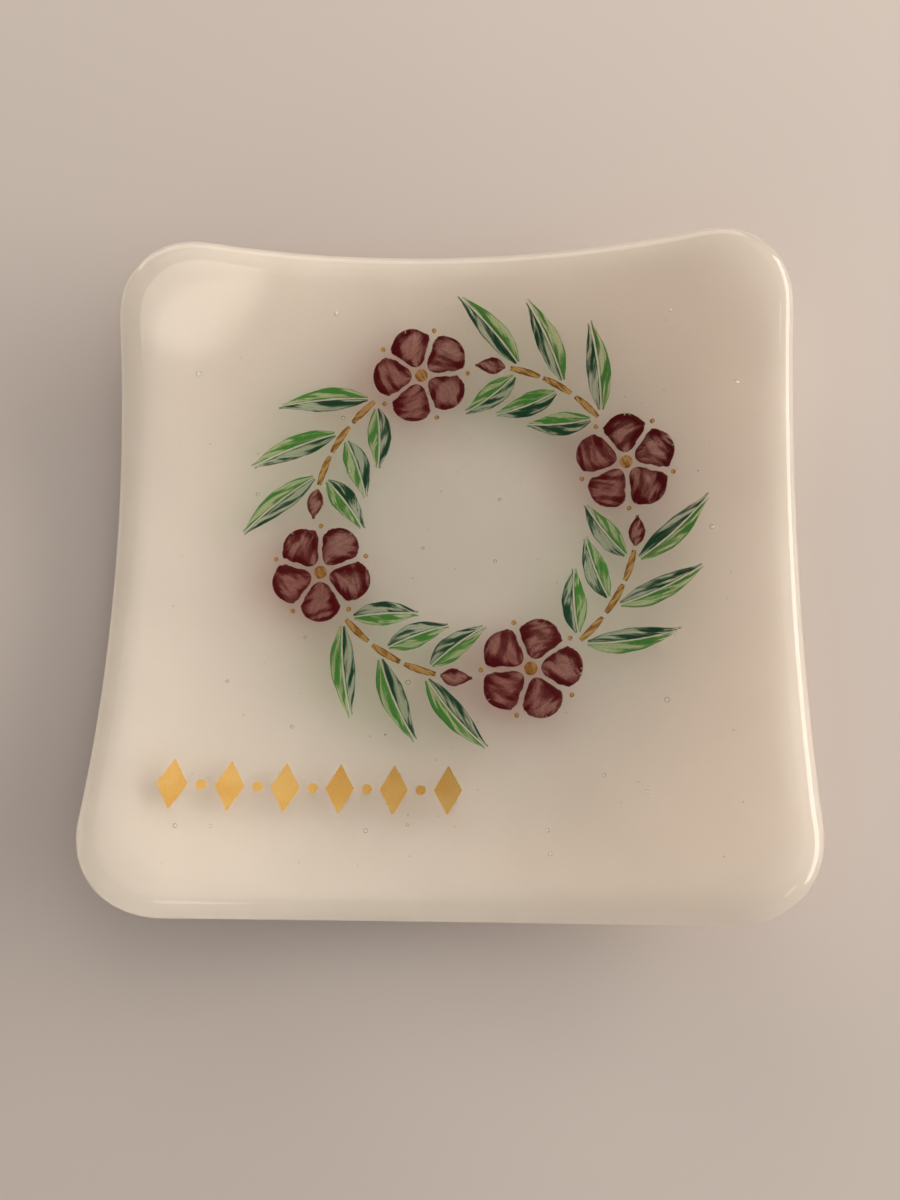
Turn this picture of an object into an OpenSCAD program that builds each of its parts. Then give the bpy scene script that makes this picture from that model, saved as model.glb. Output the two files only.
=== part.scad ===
// Square dish of fused glass: an opal white base sheet and a clear cap sheet, slumped
// together over a round mould, with an enamel wreath and a gold border fired on the cap.
// The origin is the centre of the flat foot, +Z is up and +Y points away from the gold border.

/* [Glass sheets] */
// Side of the slumped square, measured at mid thickness
dish_side = 120; // [100:1:150]
// Radius of the rounded corners
corner_r = 15; // [10:0.5:25]
// Thickness of the opal white base sheet
base_t = 3; // [2:0.1:4]
// Thickness of the clear cap sheet
cap_t = 3; // [2:0.1:4]
// Width of the fire-polished roll at the rim
rim_roll = 3.2; // [2:0.1:5]

/* [Slump] */
// Radius of the flat foot
foot_r = 24; // [16:0.5:32]
// Rise of the sheet at the middle of each side
side_rise = 7.9; // [4:0.1:12]

/* [Enamel] */
// Thickness of a fired enamel stroke
enamel_t = 0.35; // [0.2:0.05:0.8]
// Clearance between one layer and the next
lay_gap = 0.12; // [0.1:0.01:0.2]
// Bare glass between neighbouring strokes
stroke_gap = 0.6; // [0.4:0.1:1.2]
// Width of a stroke at its tip
tip_w = 0.3; // [0.2:0.05:0.6]

/* [Wreath] */
// Distance of the wreath's middle to the right of the dish's middle
wreath_x = 4; // [-6:0.5:8]
// Bare glass between the wreath and the far edge
far_margin = 7; // [6:0.5:14]
// Turn of the first blossom from the right
wreath_turn = 20; // [0:1:89]

/* [Blossoms] */
// Diameter of a blossom
blossom_d = 19; // [15:0.5:22]
// Width of a petal at its round end
petal_w = 9; // [7:0.5:11]
// Diameter of the bead in the middle of a blossom
heart_d = 2.4; // [1.6:0.1:3]
// Diameter of the small beads between the petals
pollen_d = 0.9; // [0.6:0.1:1.2]

/* [Leaves] */
// Length of an outer leaf
leaf_l = 17; // [12:0.5:19]
// Length of an inner leaf
inner_leaf_l = 12; // [8:0.5:14]
// Width of a leaf
leaf_w = 4.8; // [3:0.1:5.5]
// Width of the bare vein between the two halves of a leaf
vein_w = 0.5; // [0.3:0.1:1]
// Angle between an outer leaf and its stem
leaf_tilt = 42; // [35:1:55]
// Angle between an inner leaf and its stem
inner_tilt = 60; // [50:1:75]
// How far a leaf turns from its base to its tip
leaf_bend = 16; // [0:1:30]

/* [Stems and buds] */
// Width of a stem
stem_w = 1.4; // [1:0.1:2.2]
// Longest dab of a stem
dab_l = 7; // [4:0.5:10]
// Length of a bud
bud_l = 6; // [4:0.5:8]
// Width of a bud
bud_w = 3.4; // [2:0.1:4]

/* [Gold border] */
// Thickness of the gold lustre
gold_t = 0.25; // [0.15:0.05:0.5]
// Bare glass between the border and the near edge
near_margin = 16.5; // [12:0.5:24]
// Bare glass between the border and the left edge
left_margin = 10.5; // [8:0.5:20]
// Bare glass between the border and the wreath
border_gap = 3; // [2:0.5:6]
// Length of the border
border_l = 52; // [30:1:70]
// Height of a lozenge
lozenge_h = 9; // [5:0.1:11]
// Width of a lozenge
lozenge_w = 5; // [3:0.1:6.5]
// Diameter of a bead between lozenges
gold_bead_d = 1.8; // [1:0.1:2.4]

/* [Hidden] */
blossoms = 4;
petal_count = 5;
kinds = ["petals", "heart", "dark_leaves", "light_leaves", "stem", "bud"];

opal = [0.93, 0.91, 0.87];
clear = [0.82, 0.88, 0.86, 0.35];
crimson = [0.46, 0.07, 0.09];
amber = [0.70, 0.43, 0.12];
dark_green = [0.12, 0.34, 0.23];
light_green = [0.52, 0.72, 0.36];
gold = [0.86, 0.65, 0.27];

half = dish_side / 2;
sheet_t = base_t + cap_t;
on_cap = sheet_t + lay_gap;

// Number of steps in one corner, along one side, from the foot to the rim, and up half the rim
corner_steps = 8;
side_steps = 10;
ring_steps = 13;
rim_steps = 4;
// Number of steps along one enamel stroke
stroke_steps = 8;
// Exponent of a petal's steps: above 1, they crowd at its round end
petal_crowding = 1.5;
// Exponent of a leaf's outline: below 1, the leaf is widest nearer its base
blade_power = 0.8;
// Share of its width that a dab of a stem loses towards its ends
dab_taper = 0.4;

// Border and wreath share the height of the dish, from the near margin to the far one
border_y = -half + near_margin + lozenge_h / 2;
wreath_low = border_y + lozenge_h / 2 + border_gap;
wreath_high = half - far_margin;
wreath_y = (wreath_high + wreath_low) / 2;
leaf_foot = stem_w / 2 + stroke_gap;
leaf_reach = leaf_foot + leaf_l * sin(leaf_tilt);
wreath_r = (wreath_high - wreath_low) / 2 - leaf_reach;

// Petals run from the heart to a round end, with the small beads in the notches between them
notch = 180 / petal_count;
petal_from = heart_d / 2 + stroke_gap;
petal_l = blossom_d / 2 - petal_from;
round_r = (blossom_d - petal_w) / 2;
pollen_clear = (petal_w + pollen_d) / 2 + stroke_gap;
pollen_r = round_r * cos(notch) + sqrt(pow(pollen_clear, 2) - pow(round_r * sin(notch), 2));

// Places along the stem, as arc lengths from the middle of the blossom behind it
sector = 360 / blossoms;
sector_arc = wreath_r * sector * PI / 180;
stem_from = blossom_d / 2 + stroke_gap;
bud_to = sector_arc - blossom_d / 2 - stroke_gap;
bud_from = bud_to - bud_l;
stem_to = bud_from - stroke_gap;
leaf_from = stem_from + stroke_gap;
leaf_to = stem_to - stem_w;
outer_pitch = (leaf_w + stroke_gap) / sin(leaf_tilt);
inner_mid_r = wreath_r - inner_leaf_l * sin(inner_tilt) / 2;
inner_pitch = (leaf_w + stroke_gap) / sin(inner_tilt) * wreath_r / inner_mid_r;

// Gold border, from its first lozenge to its last
lozenges = floor((border_l - lozenge_w) / (lozenge_w + gold_bead_d + 2 * stroke_gap)) + 1;
lozenge_pitch = (border_l - lozenge_w) / max(lozenges - 1, 1);
border_x = -half + left_margin + lozenge_w / 2;

// Height and slope of the slumped sheet at distance r from the middle
function slump(r) = side_rise * pow(max(r - foot_r, 0) / (half - foot_r), 2);
function slope(r) = 2 * side_rise * max(r - foot_r, 0) / pow(half - foot_r, 2);

// Point of the glass over plan point p, w above the underside and square to the sheet
function on_glass(p, w) =
    let (
        r = max(norm(p), 0.001),
        lift = (w - sheet_t / 2) / sqrt(1 + pow(slope(r), 2)),
        q = p * (1 - lift * slope(r) / r)
    )
    [q.x, q.y, sheet_t / 2 + slump(r) + lift];

function along(angle) = [cos(angle), sin(angle)];

// Plan outline of the square, drawn in by e
function outline(e) =
    let (c = half - corner_r, r = corner_r - e)
    [
        for (k = [0:3])
            let (middle = sqrt(2) * c * along(45 + 90 * k), next = sqrt(2) * c * along(135 + 90 * k))
            each concat(
                [for (i = [0:corner_steps]) middle + r * along(90 * k + 90 * i / corner_steps)],
                [
                    for (i = [1:side_steps - 1])
                        middle + (next - middle) * i / side_steps + r * along(90 * k + 90)
                ]
            )
    ];

// The rim is half an ellipse: a is 0 at the underside of the sheet and 180 at its top
function rim_height(a) = sheet_t / 2 * (1 - cos(a));
function rim_inset(a) = rim_roll * (1 - sin(a));
function rim_angle(w) = acos(1 - 2 * w / sheet_t);

// One loop of points at rim angle a, a share s of the way from the foot to the rim
function loop(a, s) =
    [
        for (p = outline(rim_inset(a)))
            on_glass(foot_r * p / norm(p) * (1 - s) + p * s, rim_height(a))
    ];

// Sheet of glass between two rim angles
module sheet(from, to) {
    loops = concat(
        [for (j = [0:ring_steps]) loop(from, j / ring_steps)],
        [for (j = [1:rim_steps - 1]) loop(from + (to - from) * j / rim_steps, 1)],
        [for (j = [ring_steps:-1:0]) loop(to, j / ring_steps)]
    );
    around = len(loops[0]);
    last = len(loops) - 1;
    walls = [
        for (j = [0:last - 1], i = [0:around - 1])
            let (
                a = j * around + i,
                b = j * around + (i + 1) % around
            )
            each [[a, a + around, b], [b, a + around, b + around]]
    ];
    bottom = [for (i = [0:around - 1]) i];
    top = [for (i = [around - 1:-1:0]) last * around + i];
    polyhedron(points = [for (l = loops) each l], faces = concat(walls, [bottom, top]));
}

// Enamel stroke on the cap: its middle line leaves start at heading and turns by bend over
// its length, and the paint lies between the offsets left(s) and right(s) from that line
module stroke(start, heading, length, bend, left, right, t, cells = 1, crowding = 1) {
    rows = [
        for (i = [0:stroke_steps])
            let (
                s = 1 - pow(1 - i / stroke_steps, crowding),
                middle = start + length * s * along(heading + bend * s / 2),
                across = along(heading + bend * s + 90)
            )
            [for (j = [0:cells]) middle + across * (right(s) + (left(s) - right(s)) * j / cells)]
    ];
    low = [for (row = rows) for (p = row) on_glass(p, on_cap)];
    high = [for (row = rows) for (p = row) on_glass(p, on_cap + t)];
    wide = cells + 1;
    size = len(low);
    border = concat(
        [for (i = [0:stroke_steps]) i * wide],
        [for (j = [1:cells]) stroke_steps * wide + j],
        [for (i = [stroke_steps - 1:-1:0]) i * wide + cells],
        [for (j = [cells - 1:-1:1]) j]
    );
    skins = [
        for (i = [0:stroke_steps - 1], j = [0:cells - 1])
            let (a = i * wide + j, b = a + wide)
            each [
                [a, b, a + 1],
                [b, b + 1, a + 1],
                [a + size, a + 1 + size, b + size],
                [b + size, a + 1 + size, b + 1 + size]
            ]
    ];
    sides = [
        for (k = [0:len(border) - 1])
            let (a = border[k], b = border[(k + 1) % len(border)])
            each [[a, a + size, b], [b, a + size, b + size]]
    ];
    polyhedron(points = concat(low, high), faces = concat(skins, sides));
}

// Round bead on the cap
module bead(p, d, t) {
    at = on_glass(p, on_cap);
    translate(at)
        rotate([0, -atan(slope(norm(p))), atan2(p.y, p.x)])
            cylinder(d = d, h = t, $fn = 48);
}

function blossom_angle(k) = wreath_turn + sector * (k - 1);
function on_wreath(angle, r) = [wreath_x, wreath_y] + r * along(angle);
function stem_angle(k, arc) = blossom_angle(k) + arc / wreath_r * 180 / PI;

// Half width of a leaf or bud of full width w, pointed at both ends
function blade(s, w) = max(w / 2 * sin(180 * pow(s, blade_power)), tip_w);

// Half width of a petal at distance r from the middle of its blossom
function petal_half(r) =
    let (
        wedge = r * tan(notch) - stroke_gap / 2,
        cap = sqrt(max(pow(petal_w / 2, 2) - pow(max(r - round_r, 0), 2), 0))
    )
    max(min(wedge, cap), tip_w);

// Places of the leaves on one side of a stem
function leaf_arcs(pitch) =
    let (
        room = max(leaf_to - leaf_from, 0),
        gaps = floor(room / pitch)
    )
    [for (i = [0:gaps]) leaf_from + (gaps == 0 ? room / 2 : room * i / gaps)];

// Half leaves along both sides of stem k; side is 1 for the halves that face outwards
module half_leaves(k, side) {
    for (out = [1, -1]) {
        pitch = out == 1 ? outer_pitch : inner_pitch;
        tilt = out == 1 ? leaf_tilt : inner_tilt;
        length = out == 1 ? leaf_l : inner_leaf_l;
        for (arc = leaf_arcs(pitch)) {
            angle = stem_angle(k, arc);
            near = function (s) side * vein_w / 2;
            far = function (s) side * (vein_w / 2 + blade(s, leaf_w - vein_w));
            stroke(
                on_wreath(angle, wreath_r + out * leaf_foot),
                angle + 90 - out * tilt,
                length,
                out * leaf_bend,
                side == 1 ? far : near,
                side == 1 ? near : far,
                enamel_t
            );
        }
    }
}

module base_glass() {
    color(opal) difference() {
        sheet(0, rim_angle(base_t));
        translate([-foot_r, -foot_r, -base_t]) cube([2 * foot_r, 2 * foot_r, base_t]);
    }
}

module cap_glass() {
    color(clear) sheet(rim_angle(base_t + lay_gap), 180);
}

// Petals of blossom k
module petals(k) {
    middle = on_wreath(blossom_angle(k), wreath_r);
    hw = function (s) petal_half(petal_from + petal_l * s);
    color(crimson) for (i = [0:petal_count - 1]) {
        angle = blossom_angle(k) + 2 * notch * i;
        stroke(
            middle + petal_from * along(angle), angle, petal_l, 0,
            hw, function (s) -hw(s), enamel_t, cells = 2, crowding = petal_crowding
        );
    }
}

// Large bead in the middle of blossom k, and small beads between its petals
module heart(k) {
    middle = on_wreath(blossom_angle(k), wreath_r);
    color(amber) {
        bead(middle, heart_d, enamel_t);
        for (i = [0:petal_count - 1])
            bead(middle + pollen_r * along(blossom_angle(k) + notch * (2 * i + 1)), pollen_d, enamel_t);
    }
}

module dark_leaves(k) {
    color(dark_green) half_leaves(k, 1);
}

module light_leaves(k) {
    color(light_green) half_leaves(k, -1);
}

// Stem k as a row of dabs along the wreath
module stem(k) {
    dabs = ceil((stem_to - stem_from) / dab_l);
    pitch = (stem_to - stem_from + stroke_gap) / dabs;
    long = pitch - stroke_gap;
    hw = function (s) stem_w / 2 * (1 - dab_taper * (1 - sin(180 * s)));
    color(amber) for (i = [0:dabs - 1]) {
        angle = stem_angle(k, stem_from + pitch * i);
        turn = long / wreath_r * 180 / PI;
        stroke(on_wreath(angle, wreath_r), angle + 90, long, turn, hw, function (s) -hw(s), enamel_t);
    }
}

// Bud at the end of stem k
module bud(k) {
    angle = stem_angle(k, bud_from);
    turn = bud_l / wreath_r * 180 / PI;
    hw = function (s) blade(s, bud_w);
    color(crimson)
        stroke(on_wreath(angle, wreath_r), angle + 90, bud_l, turn, hw, function (s) -hw(s), enamel_t);
}

module gold_lozenges() {
    hw = function (s) max(lozenge_w / 2 * (1 - abs(2 * s - 1)), tip_w);
    color(gold) for (i = [0:lozenges - 1])
        stroke(
            [border_x + lozenge_pitch * i, border_y - lozenge_h / 2],
            90, lozenge_h, 0, hw, function (s) -hw(s), gold_t
        );
}

module gold_beads() {
    color(gold) for (i = [0:max(lozenges - 2, 0)])
        bead([border_x + lozenge_pitch * (i + 0.5), border_y], gold_bead_d, gold_t);
}

base_glass();
cap_glass();
for (k = [1:blossoms]) {
    petals(k);
    heart(k);
    dark_leaves(k);
    light_leaves(k);
    stem(k);
    bud(k);
}
gold_lozenges();
gold_beads();
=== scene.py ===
import math
import random

import bmesh
import bpy
import numpy as np
from mathutils import Matrix, Vector


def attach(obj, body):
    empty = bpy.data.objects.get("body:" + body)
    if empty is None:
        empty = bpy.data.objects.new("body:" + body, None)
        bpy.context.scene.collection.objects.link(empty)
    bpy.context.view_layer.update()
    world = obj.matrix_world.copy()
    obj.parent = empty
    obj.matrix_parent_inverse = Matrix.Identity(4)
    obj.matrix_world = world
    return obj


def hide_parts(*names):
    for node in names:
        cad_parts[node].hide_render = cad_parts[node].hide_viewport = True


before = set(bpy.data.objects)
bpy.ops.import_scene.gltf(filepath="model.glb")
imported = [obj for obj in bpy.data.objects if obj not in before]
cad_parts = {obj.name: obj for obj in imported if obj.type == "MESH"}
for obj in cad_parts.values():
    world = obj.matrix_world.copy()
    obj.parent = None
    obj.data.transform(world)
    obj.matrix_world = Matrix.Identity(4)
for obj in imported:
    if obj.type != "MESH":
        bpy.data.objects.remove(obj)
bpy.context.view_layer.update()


# Opal base sheet: 3 mm of white fusing glass, cut to a square with round corners. It sinks over
# a round mould in the kiln, so its middle lies flat, its corners rise highest and its rim is
# drawn round by the fire. The underside keeps the fine grain of the mould.
dish_side = 0.120
corner_r = 0.015
base_t = 0.003
cap_t = 0.003
rim_roll = 0.0032
foot_r = 0.024
side_rise = 0.0079
overrun_from = 0.88
overrun = math.radians(45)
sheet_t = base_t + cap_t
half = dish_side / 2
points_around = 240
rings_to_rim = 18
crowding = 1.5
steps_up_rim = 8
smooth_angle = math.radians(40)
milk_low = (0.62, 0.545, 0.47, 1)
milk_high = (0.65, 0.57, 0.495, 1)
speck_colour = (0.20, 0.16, 0.13, 1)
cloud_scale = 38.0
speck_scale = 95.0
speck_share = 0.02
sheen_scale = 900.0
grain_scale = 2600.0
grain_depth = 0.0002
light_reach = 0.014


def on_glass(plan, height):
    """Points of the glass over plan points, at a height above the underside, square to the sheet."""
    r = np.maximum(np.linalg.norm(plan, axis=1), 1e-9)
    climb = np.maximum(r - foot_r, 0) / (half - foot_r)
    slope = 2 * side_rise * climb / (half - foot_r)
    lift = (height - sheet_t / 2) / np.sqrt(1 + slope**2)
    level = plan * (1 - lift * slope / r)[:, None]
    return np.column_stack([level, sheet_t / 2 + side_rise * climb**2 + lift])


def way(angle):
    """Plan directions at angles from +X."""
    return np.column_stack([np.cos(angle), np.sin(angle)])


def rim_reach(angle, inset):
    """Distance from the middle to the square outline, drawn in by inset, at an angle."""
    ahead = np.sort(np.abs(way(angle)), axis=1)
    corner = half - corner_r
    straight = (half - inset) / ahead[:, 1]
    towards = corner * ahead.sum(axis=1)
    room = towards**2 - 2 * corner**2 + (corner_r - inset) ** 2
    rounded = towards + np.sqrt(np.maximum(room, 0))
    return np.where(straight * ahead[:, 0] <= corner, straight, rounded)


def underside(share):
    """Turn round the rim's roll of the lowest face, a share of the way out: none."""
    return 0.0


def seam(share):
    """Turn of the face between the two glasses: the upper one runs a little way down the edge."""
    level = math.acos(1 - 2 * base_t / sheet_t)
    return level - overrun * (max(share - overrun_from, 0) / (1 - overrun_from)) ** 2


def glass_sheet(name, low, high):
    """Sheet between two faces: a foot disc extruded ring by ring, out, round the rim and back."""
    shares = 1 - (1 - np.linspace(0, 1, rings_to_rim + 1)) ** crowding
    path = [(low(s), s) for s in shares[1:]]
    path += [(turn, 1.0) for turn in np.linspace(low(1), high(1), steps_up_rim + 1)[1:]]
    path += [(high(s), s) for s in shares[-2::-1]]
    bpy.ops.object.select_all(action="DESELECT")
    bpy.ops.mesh.primitive_circle_add(
        vertices=points_around,
        radius=foot_r,
        fill_type="NGON",
        location=(0, 0, sheet_t / 2 * (1 - math.cos(low(0)))),
    )
    sheet = bpy.context.object
    sheet.name = name
    bpy.ops.object.transform_apply(location=True)
    bpy.ops.object.mode_set(mode="EDIT")
    for turn, share in path:
        bpy.ops.mesh.extrude_edges_move()
        mesh = bmesh.from_edit_mesh(sheet.data)
        ring = [v for v in mesh.verts if v.select]
        angle = np.array([math.atan2(v.co.y, v.co.x) for v in ring])
        reach = rim_reach(angle, rim_roll * (1 - math.sin(turn)))
        plan = way(angle) * (foot_r + (reach - foot_r) * share)[:, None]
        for v, place in zip(ring, on_glass(plan, sheet_t / 2 * (1 - math.cos(turn)))):
            v.co = place
        bmesh.update_edit_mesh(sheet.data)
    bpy.ops.mesh.edge_face_add()
    bpy.ops.mesh.select_all(action="SELECT")
    bpy.ops.mesh.normals_make_consistent(inside=False)
    bpy.ops.object.mode_set(mode="OBJECT")
    bpy.ops.object.shade_smooth_by_angle(angle=smooth_angle)
    return sheet


class Wire:
    """A socket among a material's nodes; Python's operators on wires add Math nodes."""

    def __init__(self, tree, socket=None):
        self.tree = tree
        self.socket = socket

    def node(self, kind, settings, inputs, output=0):
        """Adds a node, makes its settings first, then fills its sockets with values or links."""
        made = self.tree.nodes.new(kind)
        for name, value in settings.items():
            setattr(made, name, value)
        for name, value in inputs.items():
            if isinstance(value, Wire):
                self.tree.links.new(value.socket, made.inputs[name])
            else:
                made.inputs[name].default_value = value
        return Wire(self.tree, made.outputs[output] if made.outputs else None)

    def math(self, operation, *others):
        values = dict(enumerate((self, *others)))
        return self.node("ShaderNodeMath", {"operation": operation}, values)

    def __add__(self, other):
        return self.math("ADD", other)

    def __sub__(self, other):
        return self.math("SUBTRACT", other)

    def __mul__(self, other):
        return self.math("MULTIPLY", other)

    def __pow__(self, other):
        return self.math("POWER", other)

    def __rsub__(self, other):
        return self * -1.0 + other

    __radd__ = __add__
    __rmul__ = __mul__

    def fade(self, low, high, start=0.0, end=1.0):
        """Goes smoothly from start to end as this value goes from low to high."""
        span = {"Value": self, "From Min": low, "From Max": high, "To Min": start, "To Max": end}
        return self.node("ShaderNodeMapRange", {"interpolation_type": "SMOOTHSTEP"}, span)

    def blend(self, first, second):
        """Colour between two, by this value."""
        return self.node("ShaderNodeMix", {"data_type": "RGBA"}, {0: self, 6: first, 7: second}, 2)

    def noise(self, scale, detail=2.0, rough=0.5):
        """Cloudy value over this vector, about 0.5 on average."""
        spread = {"Vector": self, "Scale": scale, "Detail": detail, "Roughness": rough}
        return self.node("ShaderNodeTexNoise", {}, spread, "Fac")

    def bump(self, strength, distance):
        """Normal that this value raises."""
        raised = {"Height": self, "Strength": strength, "Distance": distance}
        return self.node("ShaderNodeBump", {}, raised)

    def show(self):
        """Makes this shader the material's surface."""
        self.node("ShaderNodeOutputMaterial", {}, {"Surface": self})


def new_material(name):
    """A material with no nodes yet, and a wire to add them by."""
    material = bpy.data.materials.new(name)
    material.use_nodes = True
    material.node_tree.nodes.clear()
    return material, Wire(material.node_tree)


def opal(name, roughness, grain):
    """White glass that light sinks into, with faint clouds, stray specks and a surface grain."""
    material, nodes = new_material(name)
    place = nodes.node("ShaderNodeTexCoord", {}, {}, "Object")
    clouds = place.noise(cloud_scale, 3.0).fade(0.35, 0.65)
    spread = {"Vector": place, "Scale": speck_scale}
    cells = nodes.node("ShaderNodeTexVoronoi", {}, spread, "Distance")
    speck = cells.fade(0.6 * speck_share, speck_share, 1.0, 0.0)
    nodes.node(
        "ShaderNodeBsdfPrincipled",
        {"subsurface_method": "BURLEY"},
        {
            "Base Color": speck.blend(clouds.blend(milk_low, milk_high), speck_colour),
            "Roughness": place.noise(sheen_scale) * 0.1 + roughness,
            "Normal": place.noise(grain_scale, 3.0).bump(grain, grain_depth),
            "Subsurface Weight": 1.0,
            "Subsurface Radius": (1.0, 0.94, 0.88),
            "Subsurface Scale": light_reach,
        },
    ).show()
    return material


base_sheet = glass_sheet("base_sheet", underside, seam)
polished = opal("opal_glass_polished", roughness=0.07, grain=0.02)
mould_side = opal("opal_glass_mould_side", roughness=0.38, grain=0.5)
base_sheet.data.materials.append(polished)
base_sheet.data.materials.append(mould_side)
for face in base_sheet.data.polygons:
    face.material_index = int(face.normal.z < -0.5)
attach(base_sheet, "root")
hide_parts("base_glass")


# Clear cap sheet: 3 mm of clear glass, fused over the white one in the same firing, so that no
# air lies between them. A few bubbles and many fine seeds are trapped in it.
fused_in = 0.01
bubbles = 26
bubble_r = (0.00028, 0.00055)
seeds = 110
seed_r = (0.00007, 0.00018)
bubble_margin = 0.008
bubble_flatness = 0.5
ripple_scale = 55.0
ripple_depth = 0.002
clear_tint = (0.985, 0.99, 0.98, 1)
lamp_tint = (0.84, 0.845, 0.84, 1)
chance = random.Random(7)


def fused_face(share):
    """Turn of the cap's lower face, a hair below the seam."""
    return seam(share) - fused_in


def upper_face(share):
    """Turn of the cap's upper face: half way round."""
    return math.pi


cap_sheet = glass_sheet("cap_sheet", fused_face, upper_face)

# The wall of a bubble faces into the bubble, away from the glass around it. All are copies of one
bpy.ops.object.select_all(action="DESELECT")
bpy.ops.mesh.primitive_ico_sphere_add(subdivisions=2, radius=1)
bubble = bpy.context.object
bpy.ops.object.mode_set(mode="EDIT")
bpy.ops.mesh.flip_normals()
bpy.ops.transform.resize(value=(1, 1, bubble_flatness))
bpy.ops.object.mode_set(mode="OBJECT")
bpy.ops.object.shade_smooth()
cavities = []
for number in range(bubbles + seeds):
    r = chance.uniform(*(bubble_r if number < bubbles else seed_r))
    span = half - bubble_margin
    plan = np.array([[chance.uniform(-span, span), chance.uniform(-span, span)]])
    depth = chance.uniform(base_t + 2 * r, sheet_t - 2 * r)
    cavity = bubble.copy()
    cavity.data = bubble.data.copy()
    cavity.data.transform(Matrix.Translation(on_glass(plan, depth)[0]) @ Matrix.Scale(r, 4))
    bpy.context.collection.objects.link(cavity)
    cavities.append(cavity)
bpy.data.objects.remove(bubble)
bpy.ops.object.select_all(action="DESELECT")
for part in cavities + [cap_sheet]:
    part.select_set(True)
bpy.context.view_layer.objects.active = cap_sheet
bpy.ops.object.join()

clear_glass, nodes = new_material("clear_glass")
place = nodes.node("ShaderNodeTexCoord", {}, {}, "Object")
glass = nodes.node(
    "ShaderNodeBsdfPrincipled",
    {},
    {
        "Base Color": clear_tint,
        "Roughness": 0.03,
        "IOR": 1.5,
        "Transmission Weight": 1.0,
        "Normal": place.noise(ripple_scale, 1.0).bump(0.12, ripple_depth),
    },
)
open_way = nodes.node("ShaderNodeBsdfTransparent", {}, {"Color": lamp_tint})
from_lamp = nodes.node("ShaderNodeLightPath", {}, {}, "Is Shadow Ray")
nodes.node("ShaderNodeMixShader", {}, {0: from_lamp, 1: glass, 2: open_way}).show()
cap_sheet.data.materials.append(clear_glass)
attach(cap_sheet, "root")
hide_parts("cap_glass")


# Petals of the blossoms: crimson glass enamel, brushed on the clear cap and fired until it melts.
# Each petal is one loaded stroke from the heart outwards: the paint pools in dark patches and in
# a lip along its edge, and is drawn out to a grainy wash where the white shows through.
enamel_t = 0.00016
stroke_gap = 0.0006
tip_w = 0.0003
sunk = 0.00002
stroke_rows = 36
stroke_lanes = 20
edge_drop = 0.9
edge_power = 14
shortest_stroke = 0.94
slow_wobble = 0.03
slow_waves = 9
quick_wobble = 0.02
quick_waves = 23
bristle_along = 2.0
bristle_across = 9.0
bristle_drift = 5.3
pool_along = 2.4
pool_across = 1.8
pool_drift = 3.1
pool_floor = 0.4
ragged = 0.2
paint_from = 0.92
paint_to = 0.98
paint_grain = 3200.0
frayed = 1.1
thinnest = 0.03
thickest = 0.96
blossoms = sum(name.startswith("petals_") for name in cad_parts)
petal_count = 5
blossom_d = 0.019
petal_w = 0.009
petal_touch = 0.1
petal_corner = 12
heart_d = 0.0024
wreath_x = 0.004
wreath_turn = math.radians(20)
far_margin = 0.007
near_margin = 0.0165
lozenge_h = 0.009
border_gap = 0.003
leaf_l = 0.017
leaf_tilt = math.radians(42)
stem_w = 0.0014

border_y = -half + near_margin + lozenge_h / 2
wreath_low = border_y + lozenge_h / 2 + border_gap
wreath_high = half - far_margin
leaf_foot = stem_w / 2 + stroke_gap
wreath_r = (wreath_high - wreath_low) / 2 - leaf_foot - leaf_l * math.sin(leaf_tilt)
sector = 2 * math.pi / blossoms


def on_wreath(angle, r=wreath_r):
    """Plan point at an angle on the wreath's circle."""
    middle = np.array([wreath_x, (wreath_high + wreath_low) / 2])
    return middle + r * np.array([math.cos(angle), math.sin(angle)])


# The flat stroke that all strokes are copied from: a film one unit long, wide and thick, with
# rounded edges. Its UV map runs along the stroke and across it
bpy.ops.object.select_all(action="DESELECT")
bpy.ops.mesh.primitive_grid_add(x_subdivisions=stroke_rows, y_subdivisions=stroke_lanes, size=1)
flat_stroke = bpy.context.object
bpy.ops.object.mode_set(mode="EDIT")
bpy.ops.transform.translate(value=(0.5, 0.5, 0))
bpy.ops.mesh.extrude_region_move(TRANSFORM_OT_translate={"value": (0, 0, 1)})
mesh = bmesh.from_edit_mesh(flat_stroke.data)
for v in mesh.verts:
    if v.select:
        rim = max(abs(2 * v.co.x - 1), abs(2 * v.co.y - 1))
        v.co.z = math.sqrt(1 - edge_drop * rim**edge_power)
bmesh.update_edit_mesh(flat_stroke.data)
bpy.ops.mesh.select_all(action="SELECT")
bpy.ops.mesh.normals_make_consistent(inside=False)
bpy.ops.object.mode_set(mode="OBJECT")


def shape_of(model):
    """A model's points."""
    return np.array([v.co for v in model.data.vertices])


def lay(model, plan, thickness):
    """Copies a flat model on to the cap over plan points, as a film, each copy with its own paint."""
    copy = model.copy()
    copy.data = model.data.copy()
    height = sheet_t - sunk + (thickness + sunk) * shape_of(model)[:, 2]
    copy.data.vertices.foreach_set("co", on_glass(plan, height).ravel())
    load = chance.randrange(1, 400)
    for corner in copy.data.uv_layers.active.data:
        corner.uv.x += load
    bpy.context.collection.objects.link(copy)
    return copy


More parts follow.
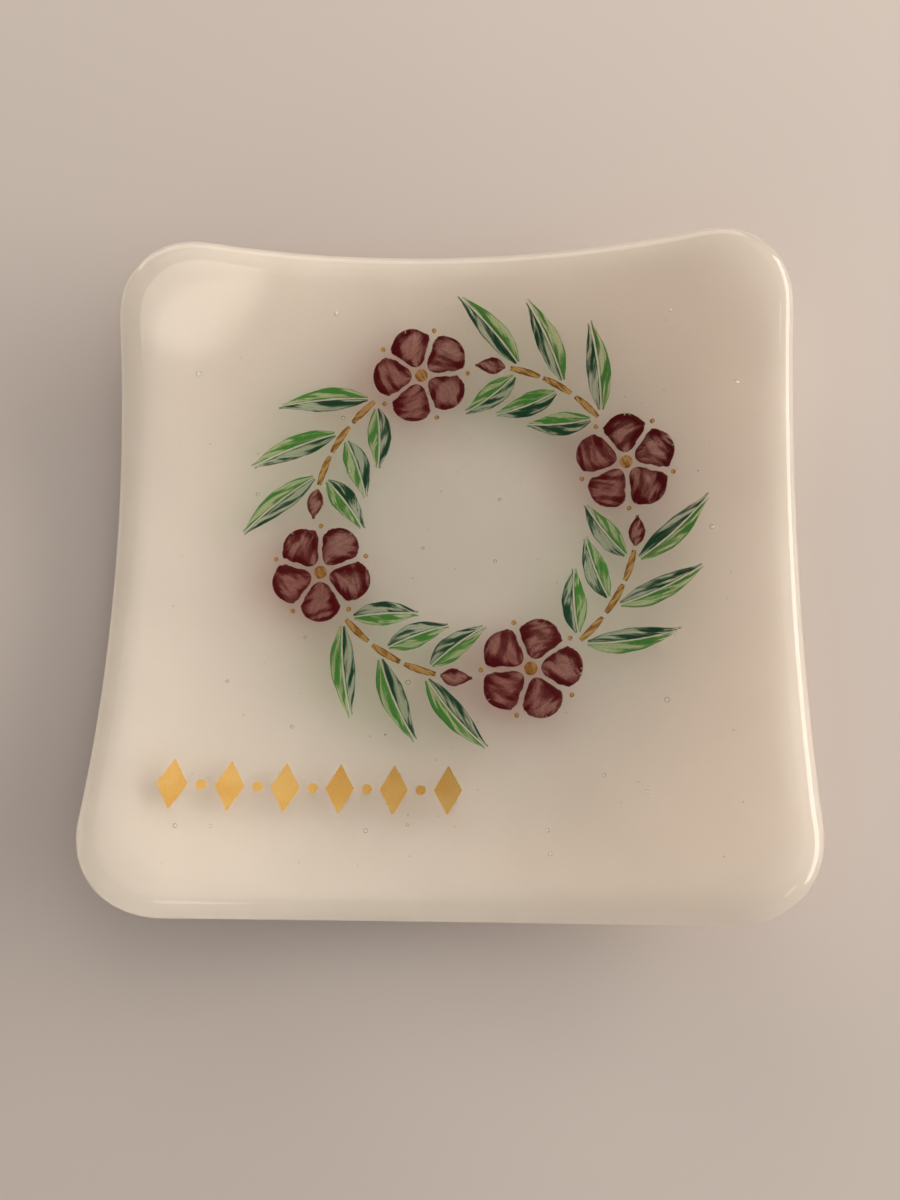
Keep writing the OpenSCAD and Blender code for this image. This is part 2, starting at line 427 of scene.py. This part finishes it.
def brush(start, heading, length, bend, edges):
    """Lays one stroke: it leaves start at heading, turns by bend, and its paint lies between the
    two edges, offsets to the left of its line, with the wobble of a hand."""
    shape = shape_of(flat_stroke)
    s = 1 - (1 - shape[:, 0]) ** crowding
    length = length * chance.uniform(shortest_stroke, 1)
    phase = chance.uniform(0, 2 * math.pi)
    slow = slow_wobble * (np.sin(slow_waves * s + phase) - 1)
    quick = quick_wobble * (np.sin(quick_waves * s + 2 * phase) - 1)
    right, left = edges(s)
    offset = (right + (left - right) * shape[:, 1]) * (1 + slow + quick)
    line = start + length * s[:, None] * way(heading + bend * s / 2)
    plan = line + way(heading + bend * s + math.pi / 2) * offset[:, None]
    return lay(flat_stroke, plan, enamel_t)


def fire(name, marks, material, node):
    """Joins marks into one piece that stands for a CAD node."""
    bpy.ops.object.select_all(action="DESELECT")
    for mark in marks:
        mark.select_set(True)
    bpy.context.view_layer.objects.active = marks[0]
    bpy.ops.object.join()
    piece = bpy.context.object
    piece.name = name
    bpy.ops.object.mode_set(mode="EDIT")
    bpy.ops.mesh.select_all(action="SELECT")
    bpy.ops.mesh.normals_make_consistent(inside=False)
    bpy.ops.object.mode_set(mode="OBJECT")
    bpy.ops.object.shade_smooth_by_angle(angle=smooth_angle)
    piece.data.materials.append(material)
    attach(piece, "root")
    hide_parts(node)


def enamel(name, deep, thin, tint, stain, cover, lip_from, lip, blot, streak, grit, dry_from):
    """Brushed glass enamel: a tinted film, with bristle streaks along the stroke, patches and a lip
    where the paint pools, ragged edges, and a dry end. The light that it lets through is stained."""
    material, nodes = new_material(name)
    uv = nodes.node("ShaderNodeUVMap", {"uv_map": "UVMap"}, {})
    u = nodes.node("ShaderNodeSeparateXYZ", {}, {0: uv}, "X")
    v = nodes.node("ShaderNodeSeparateXYZ", {}, {0: uv}, "Y")
    along = u.math("FRACT")
    side = (v * 2.0 - 1.0).math("ABSOLUTE")
    lanes = {0: u * bristle_along, 1: v * bristle_across + u * bristle_drift}
    lanes = nodes.node("ShaderNodeCombineXYZ", {}, lanes)
    broad = {0: u * pool_along, 1: v * pool_across + u * pool_drift}
    broad = nodes.node("ShaderNodeCombineXYZ", {}, broad)
    bristles = lanes.noise(1.0, 3.0, 0.65)
    pools = broad.noise(1.0, 2.0).fade(0.42, 0.62)
    wander = (broad.noise(3.0, 2.0) - 0.5) * ragged
    place = nodes.node("ShaderNodeTexCoord", {}, {}, "Object")
    grain = place.noise(paint_grain, 2.0, 0.6)
    rim = side.math("MAXIMUM", along**2.0) + wander
    load = (
        cover
        + rim.fade(lip_from, paint_from) * (pools * (1 - pool_floor) + pool_floor) * lip
        + pools * blot
        + (bristles - 0.5) * streak
        + (grain - 0.5) * grit
    )
    dense = load.fade(0.0, 1.0)
    body = (side + wander).fade(paint_from, paint_to, 1.0, 0.0)
    tail = (along + (bristles - 0.5) * frayed).fade(dry_from, 1.02, 1.0, 0.0)
    opacity = dense * (thickest - thinnest) + thinnest
    paint = nodes.node(
        "ShaderNodeBsdfPrincipled",
        {},
        {
            "Base Color": dense.blend(thin, deep),
            "Roughness": bristles * 0.25 + 0.12,
            "Normal": (bristles + dense * 0.5).bump(0.2, 0.0001),
            "Specular IOR Level": 0.25,
        },
    )
    film = nodes.node("ShaderNodeBsdfTransparent", {}, {"Color": tint})
    bare = nodes.node("ShaderNodeBsdfTransparent", {}, {"Color": (1, 1, 1, 1)})
    let_through = nodes.node("ShaderNodeBsdfTransparent", {}, {"Color": stain})
    from_lamp = nodes.node("ShaderNodeLightPath", {}, {}, "Is Shadow Ray")
    solid = nodes.node("ShaderNodeMixShader", {}, {0: from_lamp, 1: paint, 2: let_through})
    brushed = nodes.node("ShaderNodeMixShader", {}, {0: opacity, 1: film, 2: solid})
    nodes.node("ShaderNodeMixShader", {}, {0: body * tail, 1: bare, 2: brushed}).show()
    return material


petal_from = heart_d / 2 + stroke_gap
petal_l = blossom_d / 2 - petal_from
round_r = (blossom_d - petal_w) / 2
notch = math.pi / petal_count


def petal_edges(s):
    """Edges of a petal, a share s of the way from its inner end to its round one."""
    r = petal_from + petal_l * s
    wedge = r * math.tan(notch) - stroke_gap / 2
    rounded = np.sqrt(np.maximum((petal_w / 2) ** 2 - np.maximum(r - round_r, 0) ** 2, tip_w**2))
    touch = np.sqrt(1 - np.maximum(1 - s / petal_touch, 0) ** 2)
    narrower = (wedge**-petal_corner + rounded**-petal_corner) ** (-1 / petal_corner)
    half_w = np.maximum(touch * narrower, tip_w)
    return -half_w, half_w


crimson = enamel(
    "crimson_enamel",
    deep=(0.075, 0.0012, 0.0025, 1),
    thin=(0.16, 0.009, 0.011, 1),
    tint=(0.85, 0.70, 0.69, 1),
    stain=(0.55, 0.12, 0.12, 1),
    cover=0.21,
    lip_from=0.3,
    lip=0.9,
    blot=0.4,
    streak=0.45,
    grit=0.5,
    dry_from=0.97,
)
for k in range(1, blossoms + 1):
    angle = wreath_turn + sector * (k - 1)
    strokes = []
    for i in range(petal_count):
        heading = angle + 2 * notch * i
        start = on_wreath(angle) + petal_from * way(np.array([heading]))[0]
        strokes.append(brush(start, heading, petal_l, 0, petal_edges))
    fire(f"petals_{k}_enamel", strokes, crimson, f"petals_{k}")


# Hearts of the blossoms: one large bead of amber enamel in the middle and a small one in each notch
# between two petals, set down as drops that draw up into low domes in the kiln.
pollen_d = 0.0009
drop_sides = 28
drop_rings = 16
drop_span = 0.4
amber = enamel(
    "amber_enamel",
    deep=(0.13, 0.038, 0.004, 1),
    thin=(0.40, 0.18, 0.03, 1),
    tint=(0.92, 0.78, 0.52, 1),
    stain=(0.80, 0.45, 0.12, 1),
    cover=0.0,
    lip_from=0.5,
    lip=0.9,
    blot=0.5,
    streak=0.5,
    grit=0.3,
    dry_from=0.97,
)

bpy.ops.object.select_all(action="DESELECT")
bpy.ops.mesh.primitive_uv_sphere_add(segments=drop_sides, ring_count=drop_rings, radius=1)
flat_drop = bpy.context.object
bpy.ops.object.mode_set(mode="EDIT")
bpy.ops.mesh.bisect(plane_co=(0, 0, 0), plane_no=(0, 0, 1), use_fill=True, clear_inner=True)
bpy.ops.object.mode_set(mode="OBJECT")
for corner, use in zip(flat_drop.data.uv_layers.active.data, flat_drop.data.loops):
    spot = flat_drop.data.vertices[use.vertex_index].co
    corner.uv = (0.5 + drop_span * spot.x, 0.5 + drop_span * spot.y)


def drop(middle, d):
    """Lays one drop of enamel."""
    return lay(flat_drop, middle + shape_of(flat_drop)[:, :2] * d / 2, enamel_t)


pollen_clear = (petal_w + pollen_d) / 2 + stroke_gap
pollen_r = round_r * math.cos(notch) + math.sqrt(pollen_clear**2 - (round_r * math.sin(notch)) ** 2)
for k in range(1, blossoms + 1):
    angle = wreath_turn + sector * (k - 1)
    drops = [drop(on_wreath(angle), heart_d)]
    for i in range(petal_count):
        heading = angle + notch * (2 * i + 1)
        spot = on_wreath(angle) + pollen_r * way(np.array([heading]))[0]
        drops.append(drop(spot, pollen_d))
    fire(f"heart_{k}_enamel", drops, amber, f"heart_{k}")
bpy.data.objects.remove(flat_drop)


# Leaves of the sprigs: each is two strokes of a flat brush on either side of a bare vein, one in
# dark green and one in light green enamel, dragged from the stem until the brush runs dry.
inner_leaf_l = 0.012
leaf_w = 0.0048
vein_w = 0.0005
blade_lean = 0.8
inner_tilt = math.radians(60)
leaf_bend = math.radians(16)
bud_l = 0.006
stem_from = blossom_d / 2 + stroke_gap
stem_to = wreath_r * sector - blossom_d / 2 - 2 * stroke_gap - bud_l
leaf_from = stem_from + stroke_gap
leaf_room = stem_to - stem_w - leaf_from
inner_mid_r = wreath_r - inner_leaf_l * math.sin(inner_tilt) / 2
outer_pitch = (leaf_w + stroke_gap) / math.sin(leaf_tilt)
inner_pitch = (leaf_w + stroke_gap) / math.sin(inner_tilt) * wreath_r / inner_mid_r


def blade(s, w):
    """Half width of a leaf or bud of full width w, pointed at both ends."""
    return np.maximum(w / 2 * np.sin(np.pi * s**blade_lean), tip_w)


def left_half(s):
    """Edges of the half leaf to the left of its vein."""
    return vein_w / 4, vein_w / 2 + blade(s, leaf_w - vein_w)


def right_half(s):
    """Edges of the half leaf to the right of its vein."""
    return -vein_w / 2 - blade(s, leaf_w - vein_w), -vein_w / 4


def half_leaves(k, edges):
    """Half leaves along both sides of stem k."""
    strokes = []
    for out, pitch, tilt, length in (
        (1, outer_pitch, leaf_tilt, leaf_l),
        (-1, inner_pitch, inner_tilt, inner_leaf_l),
    ):
        gaps = math.floor(leaf_room / pitch)
        for i in range(gaps + 1):
            arc = leaf_from + leaf_room * i / gaps
            angle = wreath_turn + sector * (k - 1) + arc / wreath_r
            start = on_wreath(angle, wreath_r + out * leaf_foot)
            heading = angle + math.pi / 2 - out * tilt
            strokes.append(brush(start, heading, length, out * leaf_bend, edges))
    return strokes


dark_green = enamel(
    "dark_green_enamel",
    deep=(0.009, 0.045, 0.018, 1),
    thin=(0.035, 0.125, 0.055, 1),
    tint=(0.90, 0.955, 0.91, 1),
    stain=(0.12, 0.50, 0.30, 1),
    cover=0.12,
    lip_from=0.72,
    lip=1.0,
    blot=0.9,
    streak=0.8,
    grit=0.3,
    dry_from=0.8,
)
light_green = enamel(
    "light_green_enamel",
    deep=(0.05, 0.19, 0.03, 1),
    thin=(0.12, 0.28, 0.05, 1),
    tint=(0.90, 0.96, 0.83, 1),
    stain=(0.40, 0.70, 0.20, 1),
    cover=0.14,
    lip_from=0.6,
    lip=0.6,
    blot=0.7,
    streak=0.7,
    grit=0.3,
    dry_from=0.75,
)
for k in range(1, blossoms + 1):
    dark = half_leaves(k, left_half)
    fire(f"dark_leaves_{k}_enamel", dark, dark_green, f"dark_leaves_{k}")
    light = half_leaves(k, right_half)
    fire(f"light_leaves_{k}_enamel", light, light_green, f"light_leaves_{k}")


# Stems: a row of short dabs of amber enamel along the wreath, each one touch of a small round
# brush on the clear cap, fired on with the leaves.
dab_l = 0.007
dab_end = 0.6
dabs = math.ceil((stem_to - stem_from) / dab_l)
dab_pitch = (stem_to - stem_from + stroke_gap) / dabs


def dab_edges(s):
    """Edges of a dab, fuller in the middle."""
    half_w = stem_w / 2 * (dab_end + (1 - dab_end) * np.sin(np.pi * s))
    return -half_w, half_w


for k in range(1, blossoms + 1):
    strokes = []
    for i in range(dabs):
        angle = wreath_turn + sector * (k - 1) + (stem_from + dab_pitch * i) / wreath_r
        length = dab_pitch - stroke_gap
        heading = angle + math.pi / 2
        strokes.append(brush(on_wreath(angle), heading, length, length / wreath_r, dab_edges))
    fire(f"stem_{k}_enamel", strokes, amber, f"stem_{k}")


# Buds: one pointed stroke of the crimson enamel at the end of each stem, set down with the tip
# of the brush and fired on with the rest.
bud_w = 0.0034


def bud_edges(s):
    """Edges of a bud."""
    return -blade(s, bud_w), blade(s, bud_w)


for k in range(1, blossoms + 1):
    angle = wreath_turn + sector * (k - 1) + (stem_to + stroke_gap) / wreath_r
    bud = brush(on_wreath(angle), angle + math.pi / 2, bud_l, bud_l / wreath_r, bud_edges)
    fire(f"bud_{k}_enamel", [bud], crimson, f"bud_{k}")
bpy.data.objects.remove(flat_stroke)


# Gold border: lozenges and dots of bright gold lustre, laid on the cap through a stencil and
# fired. The film is thin, so its edges are crisp and its shine follows the glass.
gold_t = 0.00005
left_margin = 0.0105
border_l = 0.052
lozenge_w = 0.005
gold_bead_d = 0.0018
lozenge_steps = 12
bead_sides = 32
gold_low = (0.93, 0.52, 0.14, 1)
gold_high = (1.0, 0.62, 0.20, 1)
gold_cloud_scale = 160.0
gold_grain_scale = 2400.0
gold_grain_depth = 0.0001
lozenges = math.floor((border_l - lozenge_w) / (lozenge_w + gold_bead_d + 2 * stroke_gap)) + 1
lozenge_pitch = (border_l - lozenge_w) / (lozenges - 1)
border_x = -half + left_margin + lozenge_w / 2

gold, nodes = new_material("gold_lustre")
place = nodes.node("ShaderNodeTexCoord", {}, {}, "Object")
cloud = place.noise(gold_cloud_scale, 2.0).fade(0.35, 0.65)
fine = place.noise(gold_grain_scale, 3.0, 0.6)
nodes.node(
    "ShaderNodeBsdfPrincipled",
    {},
    {
        "Base Color": cloud.blend(gold_low, gold_high),
        "Metallic": 1.0,
        "Roughness": fine * 0.2 + 0.2,
        "Normal": fine.bump(0.06, gold_grain_depth),
    },
).show()

# A square film turned on its corner, and a round one
bpy.ops.object.select_all(action="DESELECT")
bpy.ops.mesh.primitive_grid_add(
    x_subdivisions=lozenge_steps,
    y_subdivisions=lozenge_steps,
    size=math.sqrt(2),
)
flat_lozenge = bpy.context.object
bpy.ops.object.mode_set(mode="EDIT")
bpy.ops.transform.rotate(value=math.radians(45), orient_axis="Z", center_override=(0, 0, 0))
bpy.ops.mesh.extrude_region_move(TRANSFORM_OT_translate={"value": (0, 0, 1)})
bpy.ops.object.mode_set(mode="OBJECT")
bpy.ops.object.select_all(action="DESELECT")
bpy.ops.mesh.primitive_circle_add(vertices=bead_sides, radius=1, fill_type="TRIFAN")
flat_dot = bpy.context.object
bpy.ops.object.mode_set(mode="EDIT")
bpy.ops.mesh.extrude_region_move(TRANSFORM_OT_translate={"value": (0, 0, 1)})
bpy.ops.object.mode_set(mode="OBJECT")

marks = []
for i in range(lozenges):
    middle = np.array([border_x + lozenge_pitch * i, border_y])
    plan = middle + shape_of(flat_lozenge)[:, :2] * np.array([lozenge_w, lozenge_h]) / 2
    marks.append(lay(flat_lozenge, plan, gold_t))
fire("gold_lozenges_lustre", marks, gold, "gold_lozenges")
marks = []
for i in range(lozenges - 1):
    middle = np.array([border_x + lozenge_pitch * (i + 0.5), border_y])
    marks.append(lay(flat_dot, middle + shape_of(flat_dot)[:, :2] * gold_bead_d / 2, gold_t))
fire("gold_beads_lustre", marks, gold, "gold_beads")
bpy.data.objects.remove(flat_lozenge)
bpy.data.objects.remove(flat_dot)


# Stage: a plain pale table top in a dim room, lit by two wide soft boxes low on the right and on
# the far side, and by pale patches of the room that the glass and the gold mirror. The middle of
# the ceiling is dim, so the flat middle of the dish is darker than its slopes.
table_size = 6
table_low = (0.695, 0.60, 0.545, 1)
table_high = (0.725, 0.625, 0.565, 1)
horizon = (0.37, 0.353, 0.345, 1)
ceiling = (0.14, 0.13, 0.125, 1)
near_colour = (0.50, 0.55, 0.60, 1)
right_colour = (0.92, 0.89, 0.83, 1)
glow_colour = (0.80, 0.75, 0.68, 1)
pane_colour = (2.2, 2.0, 1.8, 1)
photo_height = 1200
focal_length_px = 1250
camera_distance = 0.2289
camera_azimuth = -72.45
camera_elevation = 75.34
camera_roll = math.radians(-17.31)
camera_target = Vector((-0.00069, -0.00315, 0))

bpy.ops.object.select_all(action="DESELECT")
bpy.ops.mesh.primitive_plane_add(size=table_size)
floor = bpy.context.object
floor.name = "floor"
table_top, nodes = new_material("table_top")
place = nodes.node("ShaderNodeTexCoord", {}, {}, "Object")
tone = place.noise(6.0).fade(0.3, 0.7).blend(table_low, table_high)
nodes.node("ShaderNodeBsdfPrincipled", {}, {"Base Color": tone, "Roughness": 0.6}).show()
floor.data.materials.append(table_top)

world = bpy.data.worlds.new("soft_room")
bpy.context.scene.world = world
world.use_nodes = True
world.node_tree.nodes.clear()
nodes = Wire(world.node_tree)
direction = nodes.node("ShaderNodeTexCoord", {}, {}, "Generated")
right = nodes.node("ShaderNodeSeparateXYZ", {}, {0: direction}, "X")
far = nodes.node("ShaderNodeSeparateXYZ", {}, {0: direction}, "Y")
up = nodes.node("ShaderNodeSeparateXYZ", {}, {0: direction}, "Z")


def aim(azimuth, elevation):
    """Unit vector at degrees of azimuth, from the right towards the far side, and of elevation."""
    level = math.cos(math.radians(elevation))
    turn = math.radians(azimuth)
    rise = math.sin(math.radians(elevation))
    return Vector((level * math.cos(turn), level * math.sin(turn), rise))


def patch(azimuth, elevation, edge, core):
    """Soft round patch of the room; edge and core are cosines of the angle from its middle."""
    middle = aim(azimuth, elevation)
    return (right * middle.x + far * middle.y + up * middle.z).fade(edge, core)


sky = up.fade(0.0, 0.3).blend(horizon, ceiling)
sky = patch(azimuth=-90, elevation=12, edge=0.5, core=1.0).blend(sky, near_colour)
sky = patch(azimuth=0, elevation=18, edge=0.5, core=1.0).blend(sky, right_colour)
sky = patch(azimuth=62, elevation=54, edge=0.86, core=1.0).blend(sky, glow_colour)
sky = patch(azimuth=-34, elevation=61, edge=0.984, core=0.996).blend(sky, pane_colour)
light = nodes.node("ShaderNodeBackground", {}, {"Color": sky, "Strength": 1.0})
nodes.node("ShaderNodeOutputWorld", {}, {"Surface": light})


def soft_box(name, azimuth, elevation, distance, width, height, power, colour):
    """Wide area lamp, aimed at the dish."""
    lamp = bpy.data.lights.new(name, "AREA")
    lamp.shape = "RECTANGLE"
    lamp.size = width
    lamp.size_y = height
    lamp.energy = power
    lamp.color = colour
    box = bpy.data.objects.new(name, lamp)
    box.location = aim(azimuth, elevation) * distance
    box.rotation_euler = box.location.to_track_quat("Z", "Y").to_euler()
    bpy.context.collection.objects.link(box)


soft_box(
    "right_light",
    azimuth=10,
    elevation=20,
    distance=0.62,
    width=0.80,
    height=0.28,
    power=3.65,
    colour=(1.0, 0.97, 0.90),
)
soft_box(
    "far_light",
    azimuth=105,
    elevation=20,
    distance=0.6,
    width=0.70,
    height=0.31,
    power=1.4,
    colour=(1.0, 0.94, 0.86),
)

camera = bpy.data.objects.new("camera", bpy.data.cameras.new("camera"))
bpy.context.collection.objects.link(camera)
bpy.context.scene.camera = camera
camera.data.sensor_width = 36
camera.data.lens = camera.data.sensor_width * focal_length_px / photo_height
camera.data.clip_start = 0.01
back = aim(camera_azimuth, camera_elevation)
level = back.to_track_quat("Z", "Y").to_matrix().to_4x4()
turned = level @ Matrix.Rotation(camera_roll, 4, "Z")
camera.matrix_world = Matrix.Translation(camera_target + back * camera_distance) @ turned

bpy.context.scene.view_settings.view_transform = "Standard"
